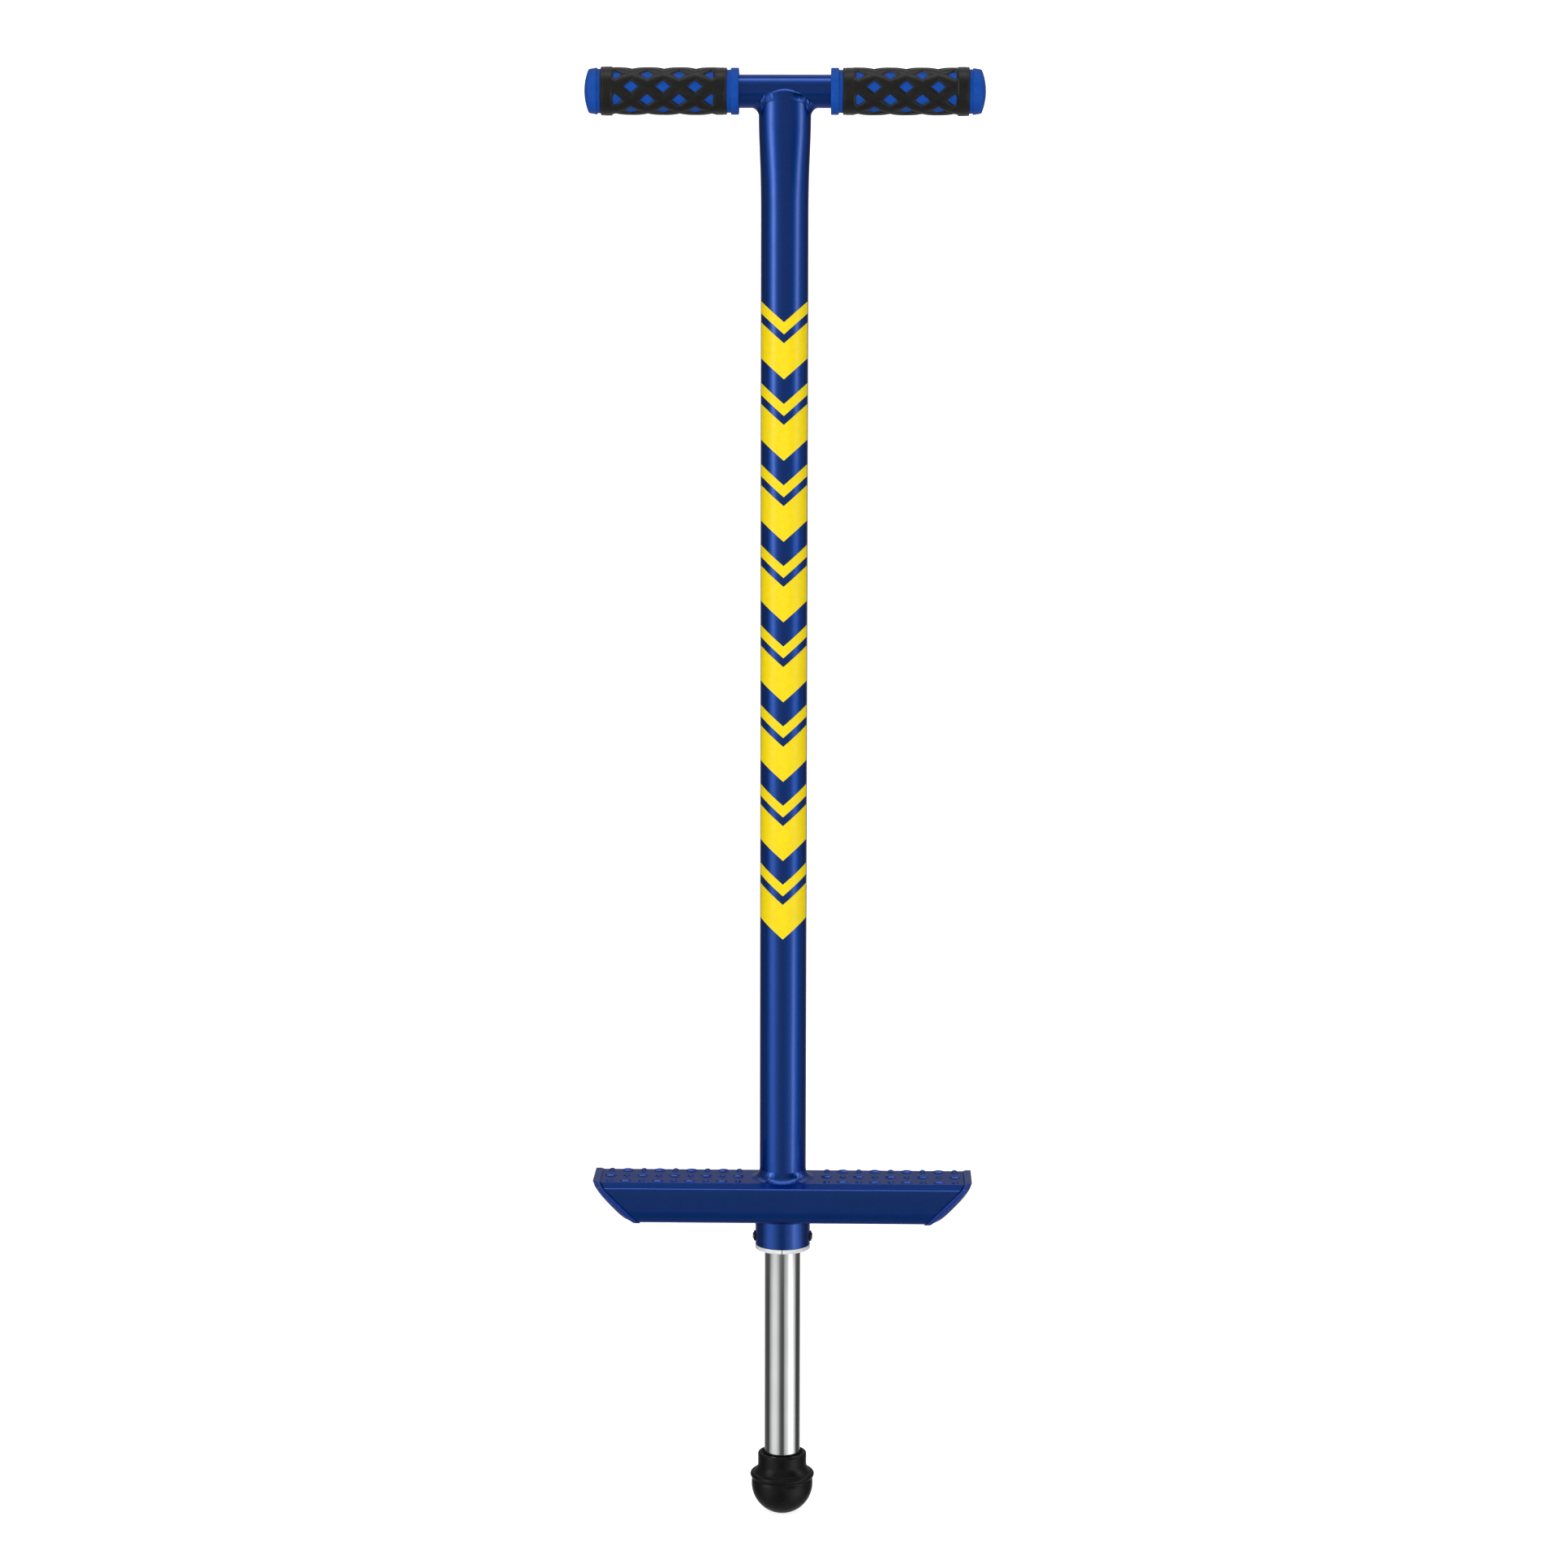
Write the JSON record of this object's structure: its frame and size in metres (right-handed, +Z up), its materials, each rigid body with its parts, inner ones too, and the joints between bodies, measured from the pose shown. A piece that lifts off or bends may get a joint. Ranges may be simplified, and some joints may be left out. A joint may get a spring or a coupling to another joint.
{
  "type": "pogo stick",
  "caption": "Spring pogo stick with a straight handlebar, a rectangular footplate with tread lugs, a chromed sliding piston and a ball-shaped rubber tip.",
  "frame": {"origin": "on the ground, where the centre of the rubber tip touches it, with the piston fully out", "axes": "+Z up along the stick's axis, +X along the handlebar and the footplate, +Y from front to back"},
  "size_m": [0.2678, 0.0556, 1.0002],
  "materials": {
    "frame_paint": "glossy metallic blue enamel",
    "grip_core": "matte moulded blue rubber",
    "grip_lattice": "satin black over-moulded rubber",
    "end_cap": "satin moulded blue plastic",
    "nylon": "natural white nylon",
    "zinc_steel": "zinc plated steel",
    "black_rubber": "black rubber",
    "bare_steel": "oiled steel",
    "spring_steel": "greased spring steel",
    "print": "glossy yellow print",
    "chrome": "bright chrome plating",
    "tip_rubber": "matte black moulded rubber"
  },
  "bodies": {
    "frame": {"main_tube": "frame_paint", "handlebar_tube": "frame_paint", "handlebar_weld": "frame_paint", "left_grip_core": "grip_core", "right_grip_core": "grip_core", "left_grip_lattice": "grip_lattice", "right_grip_lattice": "grip_lattice", "footplate": "frame_paint", "footplate_weld": "frame_paint", "left_end_cap": "end_cap", "right_end_cap": "end_cap", "lower_collar": "frame_paint", "collar_weld": "frame_paint", "bottom_bushing": "nylon", "bushing_screws": "zinc_steel", "screw_washers": "black_rubber", "upper_spring_seat": "bare_steel", "rebound_bumper": "black_rubber", "spring": "spring_steel", "tube_graphics": "print"},
    "spring_seat": {"lower_spring_washer": "zinc_steel"},
    "piston": {"piston_tube": "chrome", "piston_guide": "nylon", "guide_pin": "bare_steel", "stop_collar": "bare_steel", "tip_insert": "zinc_steel", "rubber_tip": "tip_rubber"}
  },
  "joints": [
    {"name": "piston_slide", "type": "slide", "parent": "frame", "child": "spring_seat", "axis": [0, 0, 1], "range_m": [0, 0.11], "stiffness_N_per_m": 7000, "springref_m": -0.02, "deforming": ["spring"]},
    {"name": "piston_spin", "type": "hinge", "parent": "spring_seat", "child": "piston", "pos_m": [0, 0, 0.337], "axis": [0, 0, 1], "continuous": true}
  ]
}
